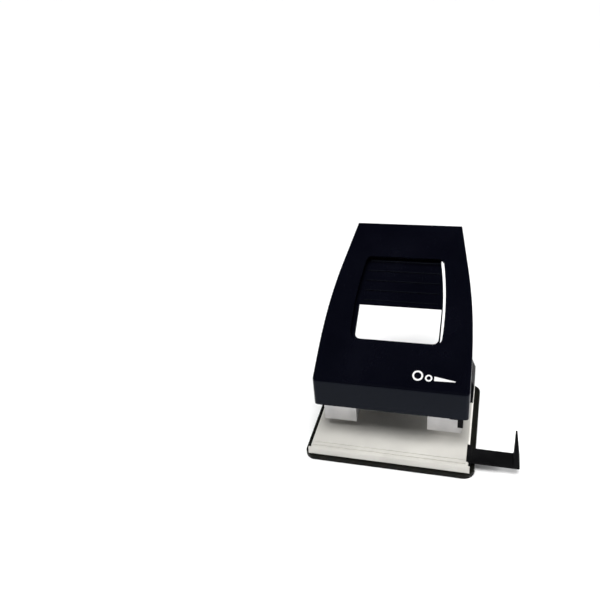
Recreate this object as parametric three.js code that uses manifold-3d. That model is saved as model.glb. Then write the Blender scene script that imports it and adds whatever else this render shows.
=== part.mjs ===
// Two-hole punch for filing paper: a chip tray, a pressed steel base with two punch heads,
// two sliding punch pins, a hooded lever handle, a sliding paper guide and a catch.
// Millimetres, +Z up, +X towards the paper guide, +Y to the back.
// The origin is the middle of the tray's underside, on the table.
import * as THREE from 'three';
import { mergeVertices } from 'three/addons/utils/BufferGeometryUtils.js';
import Module from 'manifold-3d';

const wasm = await Module();
wasm.setup();

// ---------------------------------------------------------------- driving dimensions
const GAP = 0.3;
const SIDES = [['left', -1], ['right', 1]];

const TRAY = { halfX: 64, halfY: 53, corner: 8, rimTop: 4.6, floor: 1.6 };
const COLLAR = { halfX: 57, front: -49, back: 46.3, wall: 1.5, top: 6.8 };
const FOOT = { radius: 5, height: 0.8, x: 50, y: 40 };
const HINGE = { y: 51.2, z: 6.5, barrel: 1.7, pin: 0.8, inner: 20, outer: 50 };

const PLATE = { halfX: 59.5, front: -50.5, back: 49, corner: 4, bottom: 4.9, top: 10.6, sheet: 1.4 };
const LIP = { halfX: 60.6, toe: -51.7, top: 10 };

const HOLES_APART = 80;
const PAPER_EDGE = 12;
const HEAD = {
  halfX: 12.7, sheet: 2, front: -25, wallTop: 42, slotTop: 18.6, cheekTop: 33, back: 34,
  guideTop: 24.6, boss: 6.3,
};
const PIVOT = { y: HEAD.front + HEAD.boss, z: 53, radius: 3, halfX: 54.5 };
const BAR = { y: 8, z: PIVOT.z, radius: 4, halfX: 50.4 };
const PIN = {
  y: BAR.y, radius: 3, tip: HEAD.slotTop + GAP, top: BAR.z - BAR.radius - GAP, head: 4.2, headThick: 2,
};
const HOLE_RADIUS = PIN.radius + 0.15;
const DIE = { radius: 8, bottom: 7.2 };
const CUP = { radius: 5.8, bottom: PIN.top - PIN.headThick - GAP - 1.2, top: PIN.top - PIN.headThick - GAP };
const SPRING = { radius: 4.4, wire: 0.5, turns: 6, bottom: HEAD.guideTop + GAP, top: CUP.bottom - GAP };
const RIVET = { x: 6, y: 28, shank: 1.5, head: 2.8, tail: 2.4 };

const HOUSING = { halfX: 59.2, front: 21, back: 47.5, shoulder: 28, topHalfX: 56, top: 36.4, wall: 2 };
const HOUSING_SCREW = { x: 15, y: 34 };

const ARM = { front: -43.5, back: -29, inner: 15, outer: 95.5, bottom: 7.1, top: 8.9 };
const FINGER = { inner: 91, tip: 31.5, tipThick: 1.2, tipDepth: 1.6 };
const BUSH = { inner: 58, outer: 61.2, top: 10.4, wall: 1.5 };
const RAIL = { inner: -18, outer: 56.2, wall: 1.2, leafRoom: 1.5 };

const HANDLE = {
  front: -34.4, frontBottom: 40, frontTop: 63.5, back: 84.6, backTop: 139, heel: 86.5, heelBottom: 127,
  halfX: 58, backHalfX: 42, wall: 2.2, skin: 2.5, corner: 3.5,
};
const SLOPE = Math.atan2(HANDLE.backTop - HANDLE.frontTop, HANDLE.back - HANDLE.front);
const WINDOW = { low: 36.4, high: 109, lowHalfX: 34.2, bulgeX: 36.4, highHalfX: 31, corner: 5, bevel: 1.2 };
const PANEL = {
  front: 34, opening: 39.2, floor: 68.9, flange: 112, high: 121, top: -6.3, thick: 2,
  halfX: 33, openHalfX: 31.9, backHalfX: 28.3, flangeHalfX: 37, corner: 5,
};
const RIB = { halfX: 29, first: 3.5, pitch: 8.8, count: 5, width: 1.6, height: 1.4 };
const FRAME = { inner: 24.3, sheet: 2, low: 10, high: 32 };
const CATCH = { inner: 44, tabInner: 50, outer: 54, bottom: 31.6, shelf: 37, top: 46 };
const SCREW = { head: 2.8, headThick: 1.6, shank: 1.2, hole: 1.6 };

// ---------------------------------------------------------------- finishes
const finish = (color, roughness, metalness) =>
  new THREE.MeshStandardMaterial({ color, roughness, metalness });
const MATERIAL = {
  tray: () => finish(0x141410, 0.65, 0),
  rubber: () => finish(0x0b0b0b, 0.9, 0),
  plate: () => finish(0xd7d5cf, 0.45, 0.4),
  satin: () => finish(0xb6b6ba, 0.4, 0.9),
  steel: () => finish(0x9a9ca0, 0.3, 1),
  spring: () => finish(0x83868c, 0.3, 1),
  gloss: () => finish(0x0a0b12, 0.2, 0),
  black: () => finish(0x0d0d0f, 0.45, 0),
};

// ---------------------------------------------------------------- shape helpers
const object = new THREE.Group();
const slopeGroup = new THREE.Group();
slopeGroup.position.set(0, HANDLE.front, HANDLE.frontTop);
slopeGroup.rotation.x = SLOPE;
object.add(slopeGroup);
slopeGroup.updateMatrix();

// A point of the side view, from its distance along the handle's top face and off it.
function onSlope(along, off) {
  const y = HANDLE.front + along * Math.cos(SLOPE) - off * Math.sin(SLOPE);
  const z = HANDLE.frontTop + along * Math.sin(SLOPE) + off * Math.cos(SLOPE);
  return [y, z];
}

function solidOf(geometry) {
  geometry.deleteAttribute('normal');
  geometry.deleteAttribute('uv');
  const merged = mergeVertices(geometry);
  return new wasm.Manifold(new wasm.Mesh({
    numProp: 3,
    vertProperties: merged.attributes.position.array,
    triVerts: new Uint32Array(merged.index.array),
  }));
}

function geometryOf(solid) {
  const mesh = solid.getMesh();
  const geometry = new THREE.BufferGeometry();
  geometry.setAttribute('position', new THREE.BufferAttribute(mesh.vertProperties, 3));
  geometry.setIndex(new THREE.BufferAttribute(mesh.triVerts, 1));
  geometry.computeVertexNormals();
  return geometry;
}

function place(name, shape, material, parent = object) {
  const geometry = shape.isBufferGeometry ? shape : geometryOf(shape);
  const mesh = new THREE.Mesh(geometry, material);
  mesh.name = name;
  parent.add(mesh);
  return mesh;
}

function block([x0, x1], [y0, y1], [z0, z1]) {
  const box = new THREE.BoxGeometry(x1 - x0, y1 - y0, z1 - z0);
  box.translate((x0 + x1) / 2, (y0 + y1) / 2, (z0 + z1) / 2);
  return solidOf(box);
}

function extrude(shape, depth, segments = 6) {
  return new THREE.ExtrudeGeometry(shape, { depth, bevelEnabled: false, curveSegments: segments });
}

const outline = (points) => new THREE.Shape(points.map(([a, b]) => new THREE.Vector2(a, b)));

// A flat shape in X and Y, standing from one height to another.
function slab(shape, [z0, z1], segments) {
  return solidOf(extrude(shape, z1 - z0, segments).translate(0, 0, z0));
}

// A flat shape in Y and Z, from one X to another.
function sidePlate(shape, [x0, x1], segments) {
  const axes = new THREE.Matrix4().makeBasis(
    new THREE.Vector3(0, 1, 0), new THREE.Vector3(0, 0, 1), new THREE.Vector3(1, 0, 0));
  return solidOf(extrude(shape, x1 - x0, segments).applyMatrix4(axes).translate(x0, 0, 0));
}

// A flat shape in X and Z, from one Y to another.
function frontPlate(shape, [y0, y1]) {
  return solidOf(extrude(shape, y1 - y0).rotateX(Math.PI / 2).translate(0, y1, 0));
}

function rodAlongX(radius, [x0, x1], [y, z], sides = 16) {
  const rod = new THREE.CylinderGeometry(radius, radius, x1 - x0, sides).rotateZ(Math.PI / 2);
  return solidOf(rod.translate((x0 + x1) / 2, y, z));
}

function rodAlongZ(radius, [z0, z1], [x, y], sides = 16) {
  const rod = new THREE.CylinderGeometry(radius, radius, z1 - z0, sides).rotateX(Math.PI / 2);
  return solidOf(rod.translate(x, y, (z0 + z1) / 2));
}

// A turned piece: radius and height pairs, from the axis round to the axis or closed.
function turned(profile, sides = 16) {
  const points = profile.map(([radius, height]) => new THREE.Vector2(radius, height));
  return new THREE.LatheGeometry(points, sides).rotateX(Math.PI / 2);
}

function roundedRectangle([x0, x1], [y0, y1], radius) {
  const shape = new THREE.Shape();
  shape.moveTo(x0 + radius, y0);
  shape.absarc(x1 - radius, y0 + radius, radius, -Math.PI / 2, 0);
  shape.absarc(x1 - radius, y1 - radius, radius, 0, Math.PI / 2);
  shape.absarc(x0 + radius, y1 - radius, radius, Math.PI / 2, Math.PI);
  shape.absarc(x0 + radius, y0 + radius, radius, Math.PI, 1.5 * Math.PI);
  return shape;
}

const both = (half) => [-half, half];

// ---------------------------------------------------------------- chip tray, resting on the table
function chipTray() {
  const rim = roundedRectangle(both(TRAY.halfX), both(TRAY.halfY), TRAY.corner);
  const collar = roundedRectangle(both(COLLAR.halfX), [COLLAR.front, COLLAR.back], PLATE.corner);
  const pocket = roundedRectangle(both(COLLAR.halfX - COLLAR.wall),
    [COLLAR.front + COLLAR.wall, COLLAR.back - COLLAR.wall], PLATE.corner - COLLAR.wall);
  let tray = slab(rim, [0, TRAY.rimTop])
    .add(slab(collar, [TRAY.floor, COLLAR.top]))
    .subtract(slab(pocket, [TRAY.floor, COLLAR.top + 1]));
  const guideNotch = [ARM.front - RAIL.leafRoom - RAIL.wall - GAP, ARM.back + BUSH.wall + 2 * GAP];
  tray = tray.subtract(block([COLLAR.halfX - COLLAR.wall - 1, COLLAR.halfX + 1], guideNotch,
    [TRAY.rimTop, COLLAR.top + 1]));
  for (const [, side] of SIDES) {
    const span = [side * HINGE.inner, side * HINGE.outer].sort((a, b) => a - b);
    const web = block(span, [HINGE.y - HINGE.pin, HINGE.y + HINGE.pin], [TRAY.rimTop - 1, HINGE.z]);
    tray = tray.add(rodAlongX(HINGE.barrel, span, [HINGE.y, HINGE.z], 16)).add(web);
    for (const end of [-1, 1]) {
      tray = tray.subtract(rodAlongZ(FOOT.radius + GAP, [-1, FOOT.height + GAP],
        [side * FOOT.x, end * FOOT.y]));
    }
  }
  const reach = HINGE.outer + 1;
  return tray.subtract(rodAlongX(HINGE.pin + GAP, both(reach), [HINGE.y, HINGE.z], 16));
}

function addTray() {
  place('chip_tray', chipTray(), MATERIAL.tray());
  for (const [name, side] of SIDES) {
    for (const [end, sign] of [['front', -1], ['rear', 1]]) {
      const foot = turned([[0, 0], [FOOT.radius, 0], [FOOT.radius, FOOT.height], [0, FOOT.height]]);
      const mesh = place(`tray_foot_${end}_${name}`, foot, MATERIAL.rubber());
      mesh.position.set(side * FOOT.x, sign * FOOT.y, 0);
    }
  }
  const pin = rodAlongX(HINGE.pin, both(HINGE.outer), [HINGE.y, HINGE.z], 16);
  place('tray_hinge_pin', pin, MATERIAL.steel());
}

// ---------------------------------------------------------------- base plate and punch heads
function basePlate() {
  const skirt = roundedRectangle(both(PLATE.halfX), [PLATE.front, PLATE.back], PLATE.corner);
  const inside = roundedRectangle(both(PLATE.halfX - PLATE.sheet),
    [PLATE.front + PLATE.sheet, PLATE.back - PLATE.sheet], PLATE.corner - PLATE.sheet);
  const underTop = PLATE.top - PLATE.sheet;
  const lip = outline([[LIP.toe, PLATE.bottom], [PLATE.front + PLATE.sheet, PLATE.bottom],
    [PLATE.front + PLATE.sheet, LIP.top], [PLATE.front, LIP.top]]);
  let plate = slab(skirt, [PLATE.bottom, PLATE.top])
    .add(sidePlate(lip, both(LIP.halfX)))
    .subtract(slab(inside, [PLATE.bottom - 1, underTop]));
  plate = plate.subtract(block([BUSH.inner - GAP, LIP.halfX + 1],
    [ARM.front - BUSH.wall - 2 * GAP, ARM.back + BUSH.wall + 2 * GAP], [0, PLATE.top + 1]));
  const hook = both(HINGE.inner - GAP);
  plate = plate
    .add(block(hook, [PLATE.back - 1, HINGE.y], [HINGE.z + HINGE.pin, HINGE.z + HINGE.barrel]))
    .add(rodAlongX(HINGE.barrel, hook, [HINGE.y, HINGE.z], 16))
    .subtract(rodAlongX(HINGE.pin + GAP, both(HINGE.outer), [HINGE.y, HINGE.z], 16));
  for (const [, side] of SIDES) {
    const x = side * HOLES_APART / 2;
    const through = [underTop - 1, PLATE.top + 1];
    const hole = (radius, spot) => rodAlongZ(radius, through, spot);
    plate = plate.subtract(hole(HOLE_RADIUS, [x, PIN.y]))
      .subtract(hole(RIVET.shank + GAP, [x - RIVET.x, RIVET.y]))
      .subtract(hole(RIVET.shank + GAP, [x + RIVET.x, RIVET.y]))
      .subtract(hole(SCREW.shank + GAP, [side * HOUSING_SCREW.x, HOUSING_SCREW.y]));
  }
  return plate;
}

// A folded steel head, open at the front below its guide plates, where the paper goes in.
function punchHead() {
  const slotEnd = PIN.y + PAPER_EDGE;
  const foot = PLATE.top + GAP;
  const cheekShape = outline([[HEAD.front, HEAD.slotTop], [slotEnd, HEAD.slotTop], [slotEnd, foot],
    [HEAD.back, foot], [HEAD.back, HEAD.cheekTop - 7], [HEAD.back - 8, HEAD.cheekTop],
    [PIVOT.y + 12, HEAD.cheekTop], [PIVOT.y + HEAD.boss, HEAD.cheekTop + 6],
    [PIVOT.y + HEAD.boss, PIVOT.z], [HEAD.front, PIVOT.z]]);
  const inside = HEAD.halfX - HEAD.sheet;
  const cheek = (from) => {
    const span = [from, from + HEAD.sheet];
    return sidePlate(cheekShape, span).add(rodAlongX(HEAD.boss, span, [PIVOT.y, PIVOT.z]));
  };
  const across = both(inside + HEAD.sheet / 2);
  const holeSpan = [HEAD.slotTop - 1, HEAD.guideTop + 1];
  let head = cheek(-HEAD.halfX).add(cheek(inside))
    .add(block(across, [HEAD.front, HEAD.front + HEAD.sheet], [HEAD.slotTop, HEAD.wallTop]))
    .add(block(across, [HEAD.front, slotEnd + HEAD.sheet], [HEAD.slotTop, HEAD.slotTop + HEAD.sheet]))
    .add(block(across, [PIN.y - 10, PIN.y + 10], [HEAD.guideTop - HEAD.sheet, HEAD.guideTop]))
    .add(block(across, [slotEnd, slotEnd + HEAD.sheet], [foot, HEAD.slotTop + HEAD.sheet]))
    .add(block(across, [slotEnd, HEAD.back], [foot, foot + HEAD.sheet]))
    .subtract(rodAlongZ(HOLE_RADIUS, holeSpan, [0, PIN.y]))
    .subtract(rodAlongX(PIVOT.radius + 0.1, both(HEAD.halfX + 1), [PIVOT.y, PIVOT.z]));
  for (const x of both(RIVET.x)) {
    head = head.subtract(rodAlongZ(RIVET.shank + GAP, [foot - 1, foot + HEAD.sheet + 1], [x, RIVET.y]));
  }
  return head;
}

function rivet() {
  const tailTop = PLATE.top - PLATE.sheet - GAP;
  const headBottom = PLATE.top + HEAD.sheet + 2 * GAP;
  return turned([[0, tailTop - 1.2], [RIVET.tail, tailTop - 1.2], [RIVET.tail, tailTop],
    [RIVET.shank, tailTop], [RIVET.shank, headBottom], [RIVET.head, headBottom],
    [RIVET.head * 0.7, headBottom + 1.4], [0, headBottom + 1.4]], 16);
}

function axleClip() {
  const clip = new THREE.Shape();
  const mouth = 0.6;
  clip.absarc(0, 0, PIVOT.radius + 2.2, mouth, 2 * Math.PI - mouth);
  clip.absarc(0, 0, PIVOT.radius + GAP, 2 * Math.PI - mouth, mouth, true);
  return clip;
}

class Coil extends THREE.Curve {
  getPoint(t, target = new THREE.Vector3()) {
    const turn = t * SPRING.turns * 2 * Math.PI;
    const height = SPRING.top - SPRING.bottom - 2 * SPRING.wire;
    return target.set(SPRING.radius * Math.cos(turn), SPRING.radius * Math.sin(turn),
      SPRING.bottom + SPRING.wire + t * height);
  }
}

function returnSpring() {
  const section = new THREE.Shape().absarc(0, 0, SPRING.wire, 0, 2 * Math.PI);
  return new THREE.ExtrudeGeometry(section,
    { extrudePath: new Coil(), steps: SPRING.turns * 12, curveSegments: 3, bevelEnabled: false });
}

function addBase() {
  place('base_plate', basePlate(), MATERIAL.plate());
  for (const [name, side] of SIDES) {
    const x = side * HOLES_APART / 2;
    const dieTop = PLATE.top - PLATE.sheet - GAP;
    const die = turned([[HOLE_RADIUS, DIE.bottom], [DIE.radius, DIE.bottom], [DIE.radius, dieTop],
      [HOLE_RADIUS, dieTop], [HOLE_RADIUS, DIE.bottom]]);
    place(`die_${name}`, die, MATERIAL.steel()).position.set(x, PIN.y, 0);
    place(`punch_head_${name}`, punchHead(), MATERIAL.satin()).position.x = x;
    for (const [edge, step] of [['inner', -side], ['outer', side]]) {
      const mesh = place(`head_rivet_${name}_${edge}`, rivet(), MATERIAL.steel());
      mesh.position.set(x + step * RIVET.x, RIVET.y, 0);
    }
    const clipAt = side > 0 ? HEAD.halfX + GAP : -HEAD.halfX - GAP - 0.9;
    place(`axle_clip_${name}`, sidePlate(axleClip(), [0, 0.9]), MATERIAL.spring())
      .position.set(x + clipAt, PIVOT.y, PIVOT.z);
    place(`return_spring_${name}`, returnSpring(), MATERIAL.spring()).position.set(x, PIN.y, 0);
  }
  place('pivot_axle', rodAlongX(PIVOT.radius, both(PIVOT.halfX), [PIVOT.y, PIVOT.z]), MATERIAL.steel());
}

// ---------------------------------------------------------------- cover over the backs of the heads
function rearHousing() {
  const shell = (inset, foot) => outline([[-HOUSING.halfX + inset, foot], [HOUSING.halfX - inset, foot],
    [HOUSING.halfX - inset, HOUSING.shoulder], [HOUSING.topHalfX - inset, HOUSING.top - inset],
    [-HOUSING.topHalfX + inset, HOUSING.top - inset], [-HOUSING.halfX + inset, HOUSING.shoulder]]);
  const foot = PLATE.top + GAP;
  let cover = frontPlate(shell(0, foot), [HOUSING.front, HOUSING.back])
    .subtract(frontPlate(shell(HOUSING.wall, foot - 1),
      [HOUSING.front + HOUSING.wall, HOUSING.back - HOUSING.wall]));
  for (const [, side] of SIDES) {
    const x = side * HOLES_APART / 2;
    const reach = HEAD.halfX + GAP;
    cover = cover
      .subtract(block([x - reach, x + reach], [HOUSING.front - 1, HOUSING.front + HOUSING.wall + 1],
        [foot - 1, HEAD.cheekTop + GAP]))
      .subtract(rodAlongZ(SCREW.shank + GAP, [foot, HOUSING.top + 1],
        [side * HOUSING_SCREW.x, HOUSING_SCREW.y]));
  }
  return cover;
}

// A pan-head screw standing on its head, with its shank upwards.
function screw(length) {
  return turned([[0, 0], [SCREW.head, 0], [SCREW.head, SCREW.headThick], [SCREW.shank, SCREW.headThick],
    [SCREW.shank, length], [0, length]], 16);
}

function addHousing() {
  place('rear_housing', rearHousing(), MATERIAL.black());
  const length = HOUSING.top + GAP + SCREW.headThick - DIE.bottom;
  for (const [name, side] of SIDES) {
    const mesh = place(`housing_screw_${name}`, screw(length), MATERIAL.steel());
    mesh.rotation.x = Math.PI;
    mesh.position.set(side * HOUSING_SCREW.x, HOUSING_SCREW.y, DIE.bottom + length);
  }
}

// ---------------------------------------------------------------- sliding paper guide
function paperGuide() {
  const arm = block([ARM.inner, ARM.outer], [ARM.front, ARM.back], [ARM.bottom, ARM.top]);
  const back = ARM.back - 0.5;
  const side = outline([[ARM.front, ARM.top - 1], [back, ARM.top - 1], [back, FINGER.tip],
    [back - FINGER.tipDepth, FINGER.tip], [ARM.front, ARM.top]]);
  const front = outline([[FINGER.inner, ARM.bottom], [ARM.outer, ARM.bottom],
    [FINGER.inner + FINGER.tipThick, FINGER.tip], [FINGER.inner, FINGER.tip]]);
  const finger = sidePlate(side, [FINGER.inner, ARM.outer])
    .intersect(frontPlate(front, [ARM.front, ARM.back]));
  return arm.add(finger);
}

function guideBush() {
  const hole = [ARM.front - GAP, ARM.back + GAP];
  return block([BUSH.inner, BUSH.outer], [hole[0] - BUSH.wall, hole[1] + BUSH.wall],
    [PLATE.bottom, BUSH.top])
    .subtract(block([BUSH.inner - 1, BUSH.outer + 1], hole, [ARM.bottom - GAP, ARM.top + GAP]));
}

function guideRail() {
  const inside = [ARM.front - RAIL.leafRoom, ARM.back + GAP];
  const floorTop = ARM.bottom - GAP;
  return block([RAIL.inner, RAIL.outer], [inside[0] - RAIL.wall, inside[1] + RAIL.wall],
    [floorTop - RAIL.wall, PLATE.top - PLATE.sheet - GAP])
    .subtract(block([RAIL.inner - 1, RAIL.outer + 1], inside, [floorTop, PLATE.top]));
}

// A bowed strip that presses on the guide's edge.
function guideLeaf() {
  const near = ARM.front - RAIL.leafRoom + GAP;
  const bow = RAIL.leafRoom - 2 * GAP - 0.4;
  const leaf = new THREE.Shape();
  leaf.moveTo(20, near);
  leaf.quadraticCurveTo(35, near + 2 * bow, 50, near);
  leaf.lineTo(50, near + 0.4);
  leaf.quadraticCurveTo(35, near + 0.4 + 2 * bow, 20, near + 0.4);
  return slab(leaf, [ARM.bottom, ARM.top - GAP]);
}

function addGuide() {
  place('paper_guide', paperGuide(), MATERIAL.black());
  place('guide_bush', guideBush(), MATERIAL.black());
  place('guide_rail', guideRail(), MATERIAL.satin());
  place('guide_leaf', guideLeaf(), MATERIAL.spring());
}

// ---------------------------------------------------------------- punch pins
function punchPin() {
  const notch = outline([[-PIN.radius - 1, PIN.tip - 1], [PIN.radius + 1, PIN.tip - 1], [0, PIN.tip + 1.6]]);
  return rodAlongZ(PIN.radius, [PIN.tip, PIN.top - 1], [0, 0])
    .add(rodAlongZ(PIN.head, [PIN.top - PIN.headThick, PIN.top], [0, 0]))
    .subtract(frontPlate(notch, both(PIN.radius + 1)));
}

function addPins() {
  for (const [name, side] of SIDES) {
    const x = side * HOLES_APART / 2;
    place(`punch_pin_${name}`, punchPin(), MATERIAL.steel()).position.set(x, PIN.y, 0);
    const inner = PIN.radius + GAP;
    const cup = turned([[inner, CUP.bottom], [CUP.radius, CUP.bottom], [CUP.radius, CUP.top],
      [inner, CUP.top], [inner, CUP.bottom]]);
    place(`spring_cup_${name}`, cup, MATERIAL.satin()).position.set(x, PIN.y, 0);
  }
}

// ---------------------------------------------------------------- handle
// The plan of the handle: square at the front, its sides drawing in towards the back.
function handlePlan(inset) {
  const front = HANDLE.front + inset;
  const back = HANDLE.heel - inset;
  const wide = HANDLE.halfX - inset;
  const narrow = HANDLE.backHalfX - inset;
  const corner = HANDLE.corner;
  const plan = new THREE.Shape();
  plan.moveTo(-wide + corner, front);
  plan.lineTo(wide - corner, front);
  plan.quadraticCurveTo(wide, front, wide, front + corner);
  plan.bezierCurveTo(wide - 0.6, front + 62, narrow + 10.6, back - 47, narrow, back - corner);
  plan.quadraticCurveTo(narrow - 0.8, back, narrow - corner, back);
  plan.lineTo(-narrow + corner, back);
  plan.quadraticCurveTo(-narrow + 0.8, back, -narrow, back - corner);
  plan.bezierCurveTo(-narrow - 10.6, back - 47, -wide + 0.6, front + 62, -wide, front + corner);
  plan.quadraticCurveTo(-wide, front, -wide + corner, front);
  return plan;
}

function windowShape() {
  const { low, high, lowHalfX, bulgeX, highHalfX, corner } = WINDOW;
  const middle = (low + high) / 2;
  const shape = new THREE.Shape();
  shape.moveTo(-lowHalfX + corner, low);
  shape.lineTo(lowHalfX - corner, low);
  shape.quadraticCurveTo(lowHalfX, low, lowHalfX + 0.6, low + corner);
  shape.quadraticCurveTo(bulgeX, middle, highHalfX, high - corner);
  shape.quadraticCurveTo(highHalfX - 0.6, high, highHalfX - corner, high);
  shape.lineTo(-highHalfX + corner, high);
  shape.quadraticCurveTo(-highHalfX + 0.6, high, -highHalfX, high - corner);
  shape.quadraticCurveTo(-bulgeX, middle, -lowHalfX - 0.6, low + corner);
  shape.quadraticCurveTo(-lowHalfX, low, -lowHalfX + corner, low);
  return shape;
}

const sloped = (geometry) => solidOf(geometry.applyMatrix4(slopeGroup.matrix));

function windowCut() {
  const bevelled = new THREE.ExtrudeGeometry(windowShape(), {
    depth: 6, bevelEnabled: true, bevelSegments: 1, bevelSize: WINDOW.bevel,
    bevelThickness: WINDOW.bevel, curveSegments: 5,
  });
  const straight = extrude(windowShape(), 8, 5).translate(0, 0, -7);
  return sloped(bevelled.translate(0, 0, 0.2)).add(sloped(straight));
}

// Where the screws go: across, along the top face, and how deep the handle's post hangs.
const FRAME_SCREWS = { x: 14, along: 21, post: -HANDLE.skin };
const PANEL_SCREWS = { x: 20, along: 115.5, post: PANEL.top + GAP };

function handleShell() {
  const profile = new THREE.Shape();
  profile.moveTo(HANDLE.front, HANDLE.frontBottom);
  profile.lineTo(6, HANDLE.frontBottom + 2.5);
  profile.quadraticCurveTo(14, 45, 30, 62);
  profile.quadraticCurveTo(62, 100, HANDLE.heel, HANDLE.heelBottom);
  profile.lineTo(HANDLE.back, HANDLE.backTop);
  profile.lineTo(HANDLE.front, HANDLE.frontTop);
  const tall = [HANDLE.frontBottom - 1, HANDLE.backTop + 1];
  const under = outline([[HANDLE.front - 10, 0], [HANDLE.heel + 10, 0], onSlope(160, -HANDLE.skin),
    onSlope(-15, -HANDLE.skin)]);
  const outer = slab(handlePlan(0), tall, 8).intersect(sidePlate(profile, both(HANDLE.halfX + 1), 6));
  const hollow = slab(handlePlan(HANDLE.wall), [0, HANDLE.backTop + 1], 8)
    .intersect(sidePlate(under, both(HANDLE.halfX + 1)));
  let shell = outer.subtract(hollow).subtract(windowCut());
  for (const [, side] of SIDES) {
    const { x, along, post } = PANEL_SCREWS;
    const height = -post - 1;
    const pillar = new THREE.CylinderGeometry(3.2, 3.2, height, 16).rotateX(Math.PI / 2);
    shell = shell.add(sloped(pillar.translate(side * x, along, post + height / 2)));
    for (const spot of [FRAME_SCREWS, PANEL_SCREWS]) {
      const depth = -spot.post - 0.8;
      const bore = new THREE.CylinderGeometry(SCREW.hole, SCREW.hole, depth + 1, 16).rotateX(Math.PI / 2);
      const middle = spot.post + (depth - 1) / 2;
      shell = shell.subtract(sloped(bore.translate(side * spot.x, spot.along, middle)));
    }
  }
  return shell;
}

// The frame under the window: a rail on each side and a ribbed floor behind. Its left edge runs
// under the handle's skin, and its right edge leaves a narrow gap beside the window.
function gripPanel() {
  const { front, opening, floor, flange, high, top, thick, halfX, openHalfX, backHalfX, corner } = PANEL;
  const wide = PANEL.flangeHalfX;
  const plan = new THREE.Shape();
  plan.moveTo(-wide, front);
  plan.lineTo(halfX, front);
  plan.lineTo(halfX, floor - 11);
  plan.quadraticCurveTo(halfX, floor + 15, backHalfX, flange - 4);
  plan.lineTo(backHalfX, flange);
  plan.lineTo(wide, flange);
  plan.lineTo(wide, high);
  plan.lineTo(-wide, high);
  const hole = new THREE.Shape();
  hole.moveTo(-openHalfX, floor);
  hole.lineTo(-openHalfX, opening + corner);
  hole.quadraticCurveTo(-openHalfX, opening, -openHalfX + corner, opening);
  hole.lineTo(openHalfX - corner, opening);
  hole.quadraticCurveTo(openHalfX, opening, openHalfX, opening + corner);
  hole.lineTo(openHalfX, floor);
  const ribs = [];
  for (let rib = 0; rib < RIB.count; rib += 1) {
    const low = floor + RIB.first + rib * RIB.pitch;
    ribs.push(block(both(RIB.halfX), [low, low + RIB.width], [top - 1, top + RIB.height]));
  }
  let panel = slab(plan, [top - thick, top])
    .subtract(slab(hole, [top - thick - 1, top + 1]))
    .add(wasm.Manifold.union(ribs).intersect(slab(plan, [top - thick, top + RIB.height])));
  for (const [, side] of SIDES) {
    panel = panel.subtract(rodAlongZ(SCREW.hole, [top - thick - 1, top + 1],
      [side * PANEL_SCREWS.x, PANEL_SCREWS.along]));
  }
  return panel;
}

// The steel lever that carries the press bar and turns on the axle.
function leverFrame() {
  const webTop = -HANDLE.skin - GAP;
  const web = outline([onSlope(FRAME.low, webTop), onSlope(FRAME.low, webTop - FRAME.sheet),
    onSlope(FRAME.high, webTop - FRAME.sheet), onSlope(FRAME.high, webTop)]);
  const drop = PIVOT.z - HEAD.boss;
  const ear = outline([[HEAD.front, PIVOT.z], [PIVOT.y, drop], [BAR.y, drop],
    [BAR.y + HEAD.boss, BAR.z], [BAR.y + HEAD.boss, BAR.z + 4],
    onSlope(FRAME.high - 1, webTop - 1), onSlope(FRAME.low + 2, webTop - 1)]);
  let frame = sidePlate(web, both(FRAME.inner + FRAME.sheet));
  for (const x of [-FRAME.inner - FRAME.sheet, FRAME.inner]) {
    const span = [x, x + FRAME.sheet];
    frame = frame.add(sidePlate(ear, span))
      .add(rodAlongX(HEAD.boss, span, [PIVOT.y, PIVOT.z]))
      .add(rodAlongX(HEAD.boss, span, [BAR.y, BAR.z]));
  }
  for (const [, side] of SIDES) {
    const bore = new THREE.CylinderGeometry(SCREW.hole, SCREW.hole, 8, 16).rotateX(Math.PI / 2);
    frame = frame.subtract(sloped(bore.translate(side * FRAME_SCREWS.x, FRAME_SCREWS.along, -4)));
  }
  const reach = both(FRAME.inner + FRAME.sheet + 1);
  return frame.subtract(rodAlongX(PIVOT.radius + 0.1, reach, [PIVOT.y, PIVOT.z]))
    .subtract(rodAlongX(BAR.radius + GAP, reach, [BAR.y, BAR.z]));
}

// The catch that locks the handle down, with a finger tab below the handle's front edge.
function lockCatch() {
  const back = HANDLE.front + HANDLE.wall + GAP;
  const plate = block([CATCH.inner, CATCH.outer], [back, back + 1.6], [CATCH.shelf, CATCH.top]);
  const tab = block([CATCH.tabInner, CATCH.outer], [HANDLE.front + 0.4, back + 1.6],
    [CATCH.bottom, HANDLE.frontBottom - GAP]);
  return plate.add(tab);
}

function addHandle() {
  place('handle_shell', handleShell(), MATERIAL.gloss());
  place('grip_panel', gripPanel(), MATERIAL.gloss(), slopeGroup);
  place('lever_frame', leverFrame(), MATERIAL.satin());
  place('press_bar', rodAlongX(BAR.radius, both(BAR.halfX), [BAR.y, BAR.z]), MATERIAL.steel());
  place('lock_catch', lockCatch(), MATERIAL.black());
  const webBottom = -HANDLE.skin - 2 * GAP - FRAME.sheet;
  const panelBottom = PANEL.top - PANEL.thick - GAP;
  for (const [name, side] of SIDES) {
    for (const [piece, spot, seat, tip] of [['frame', FRAME_SCREWS, webBottom, -1.2],
      ['panel', PANEL_SCREWS, panelBottom, -1.2]]) {
      const length = SCREW.headThick + tip - seat;
      const mesh = place(`${piece}_screw_${name}`, screw(length), MATERIAL.steel(), slopeGroup);
      mesh.position.set(side * spot.x, spot.along, seat - SCREW.headThick);
    }
  }
}

addTray();
addBase();
addHousing();
addGuide();
addPins();
addHandle();

export default object;
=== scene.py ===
"""Looks of a two-hole punch for filing paper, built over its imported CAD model.

Sizes are in millimetres, with +Z up, +X towards the paper guide and +Y to the back. Blender works
in metres, so each helper turns its sizes into metres as it makes a mesh.
"""

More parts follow.
